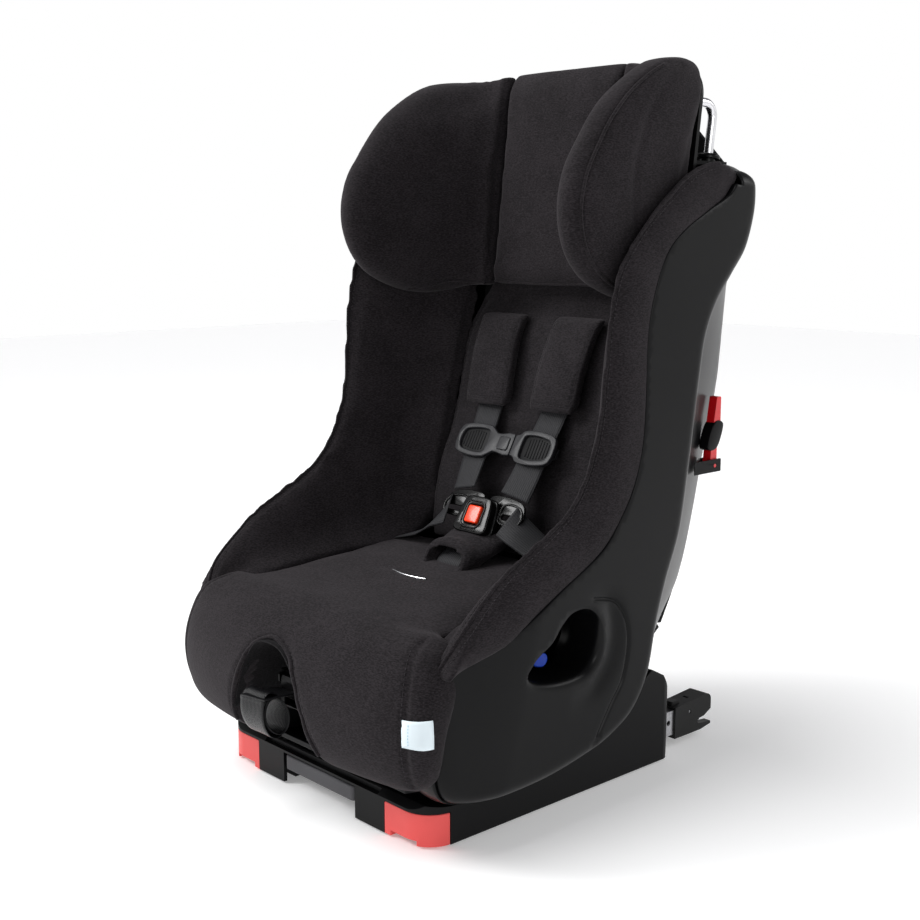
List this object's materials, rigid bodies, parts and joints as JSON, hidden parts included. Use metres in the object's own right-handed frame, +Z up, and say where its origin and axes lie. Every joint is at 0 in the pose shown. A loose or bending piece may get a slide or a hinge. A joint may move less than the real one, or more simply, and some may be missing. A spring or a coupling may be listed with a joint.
{
  "type": "convertible car seat",
  "caption": "Padded bucket child seat with side wings, five-point harness, height-adjustable headrest and reclining base with rigid lower anchors.",
  "frame": {"origin": "centre of the base underside, on the plane the rubber pads rest on", "axes": "+X to the right for someone facing the seat, +Y to the rear of the seat, +Z up"},
  "size_m": [0.424, 0.5404, 0.75],
  "materials": {
    "base_plastic": "fine moulded grain",
    "crush_red": "satin translucent red",
    "handle_grey": "fine grain",
    "shell_plastic": "fine moulded grain",
    "inner_plastic": "plain",
    "anchor_black": "fine grain",
    "steel": "zinc plated",
    "rod_steel": "polished tube",
    "rubber": "matt",
    "cover_fabric": "knitted cover",
    "insert_fabric": "woven insert",
    "webbing": "ribbed polyester webbing",
    "buckle_black": "satin",
    "button_orange": "smooth",
    "clip_grey": "satin",
    "lockoff_red": "smooth",
    "guide_blue": "smooth",
    "tag_white": "woven label, blank"
  },
  "bodies": {
    "base": {"base_shell": "base_plastic", "bottom_plate": "base_plastic", "base_screws": "steel", "base_feet": "rubber", "crush_blocks": "crush_red", "recline_tracks": "steel", "latch_guides": "inner_plastic"},
    "latch_carriage": {"latch_arms": "steel", "latch_housing_left": "anchor_black", "latch_housing_right": "anchor_black"},
    "headrest": {"headrest_center_pad": "insert_fabric", "headrest_wing_left": "cover_fabric", "headrest_wing_right": "cover_fabric", "headrest_shell": "shell_plastic", "headrest_rods": "rod_steel"},
    "chest_clip": {"chest_clip_left": "clip_grey", "chest_clip_right": "clip_grey"},
    "recline_handle": {"recline_handle": "handle_grey"},
    "recline_lock": {"recline_lock": "steel"},
    "latch_jaw_left": {"latch_jaw_left": "steel"},
    "latch_jaw_right": {"latch_jaw_right": "steel"},
    "latch_release_left": {"latch_release_left": "anchor_black"},
    "latch_release_right": {"latch_release_right": "anchor_black"},
    "headrest_release": {"headrest_release": "shell_plastic"},
    "chest_clip_button": {"chest_clip_button": "clip_grey"},
    "buckle_button": {"buckle_button": "button_orange"},
    "tongue_left": {"tongue_left": "steel"},
    "tongue_right": {"tongue_right": "steel"},
    "adjuster_lever": {"adjuster_lever": "steel"},
    "lockoff_left": {"lockoff_left": "lockoff_red"},
    "lockoff_right": {"lockoff_right": "lockoff_red"},
    "seat": {"adjuster_housing": "buckle_black", "adjuster_strap": "webbing", "back_cover": "shell_plastic", "back_frame": "steel", "back_pad": "insert_fabric", "back_shell": "inner_plastic", "belt_guides": "guide_blue", "bolster_left": "cover_fabric", "bolster_right": "cover_fabric", "buckle_body": "buckle_black", "crotch_pad": "insert_fabric", "crotch_strap": "webbing", "harness_yoke": "steel", "headrest_sockets": "shell_plastic", "hip_straps": "webbing", "lockoff_brackets": "shell_plastic", "recline_rails": "steel", "seat_cushion": "cover_fabric", "seat_deck": "inner_plastic", "seat_pan": "shell_plastic", "shoulder_pad_left": "insert_fabric", "shoulder_pad_right": "insert_fabric", "shoulder_strap_left": "webbing", "shoulder_strap_right": "webbing", "side_shell_left": "shell_plastic", "side_shell_right": "shell_plastic", "side_tag": "tag_white", "tether_hook": "steel", "tether_strap": "webbing"}
  },
  "joints": [
    {"name": "seat_recline", "type": "hinge", "parent": "base", "child": "seat", "pos_m": [0, -0.1, 0.5], "axis": [-1, 0, 0], "range_deg": [0, 12]},
    {"name": "recline_handle_pull", "type": "slide", "parent": "base", "child": "recline_handle", "axis": [0, -1, 0], "range_m": [0, 0.01], "stiffness_N_per_m": 600},
    {"name": "recline_lock_drop", "type": "slide", "parent": "base", "child": "recline_lock", "axis": [0, 0.0872, -0.9962], "range_m": [0, 0.006]},
    {"name": "anchor_extend", "type": "slide", "parent": "base", "child": "latch_carriage", "axis": [0, 1, 0], "range_m": [-0.06, 0]},
    {"name": "headrest_height", "type": "slide", "parent": "seat", "child": "headrest", "axis": [0, 0.1392, 0.9903], "range_m": [-0.03, 0.1]},
    {"name": "headrest_release_pull", "type": "slide", "parent": "headrest", "child": "headrest_release", "axis": [0, 0.1392, 0.9903], "range_m": [0, 0.008], "stiffness_N_per_m": 500},
    {"name": "chest_clip_height", "type": "slide", "parent": "seat", "child": "chest_clip", "axis": [0, 0.4848, 0.8746], "range_m": [-0.022, 0.016]},
    {"name": "chest_clip_press", "type": "slide", "parent": "chest_clip", "child": "chest_clip_button", "axis": [0, 0.8746, -0.4848], "range_m": [0, 0.0025], "stiffness_N_per_m": 600},
    {"name": "buckle_press", "type": "slide", "parent": "seat", "child": "buckle_button", "axis": [0, 0.8746, -0.4848], "range_m": [0, 0.0035], "stiffness_N_per_m": 900},
    {"name": "adjuster_lever_lift", "type": "hinge", "parent": "seat", "child": "adjuster_lever", "pos_m": [0, -0.204, 0.134], "axis": [-1, 0, 0], "range_deg": [0, 20], "stiffness_Nm_per_rad": 0.15},
    {"name": "latch_release_left_press", "type": "slide", "parent": "latch_carriage", "child": "latch_release_left", "axis": [0, 0, -1], "range_m": [0, 0.004], "stiffness_N_per_m": 300},
    {"name": "latch_jaw_left_turn", "type": "hinge", "parent": "latch_carriage", "child": "latch_jaw_left", "pos_m": [-0.14, 0.232, 0.036], "axis": [1, 0, 0], "range_deg": [0, 22]},
    {"name": "tongue_left_release", "type": "slide", "parent": "seat", "child": "tongue_left", "axis": [0, 0.4848, 0.8746], "range_m": [0, 0.018]},
    {"name": "lockoff_left_swing", "type": "hinge", "parent": "seat", "child": "lockoff_left", "pos_m": [-0.173, 0.226, 0.322], "axis": [-1, 0, 0], "range_deg": [0, 60]},
    {"name": "latch_release_right_press", "type": "slide", "parent": "latch_carriage", "child": "latch_release_right", "axis": [0, 0, -1], "range_m": [0, 0.004], "stiffness_N_per_m": 300},
    {"name": "latch_jaw_right_turn", "type": "hinge", "parent": "latch_carriage", "child": "latch_jaw_right", "pos_m": [0.14, 0.232, 0.036], "axis": [1, 0, 0], "range_deg": [0, 22]},
    {"name": "tongue_right_release", "type": "slide", "parent": "seat", "child": "tongue_right", "axis": [0, 0.4848, 0.8746], "range_m": [0, 0.018]},
    {"name": "lockoff_right_swing", "type": "hinge", "parent": "seat", "child": "lockoff_right", "pos_m": [0.173, 0.226, 0.322], "axis": [-1, 0, 0], "range_deg": [0, 60]}
  ],
  "couplings": [
    {"joint": "recline_lock_drop", "follows": "recline_handle_pull", "ratio": 0.6},
    {"joint": "latch_jaw_left_turn", "follows": "latch_release_left_press", "rad_per_m": 95.993},
    {"joint": "latch_jaw_right_turn", "follows": "latch_release_right_press", "rad_per_m": 95.993}
  ]
}
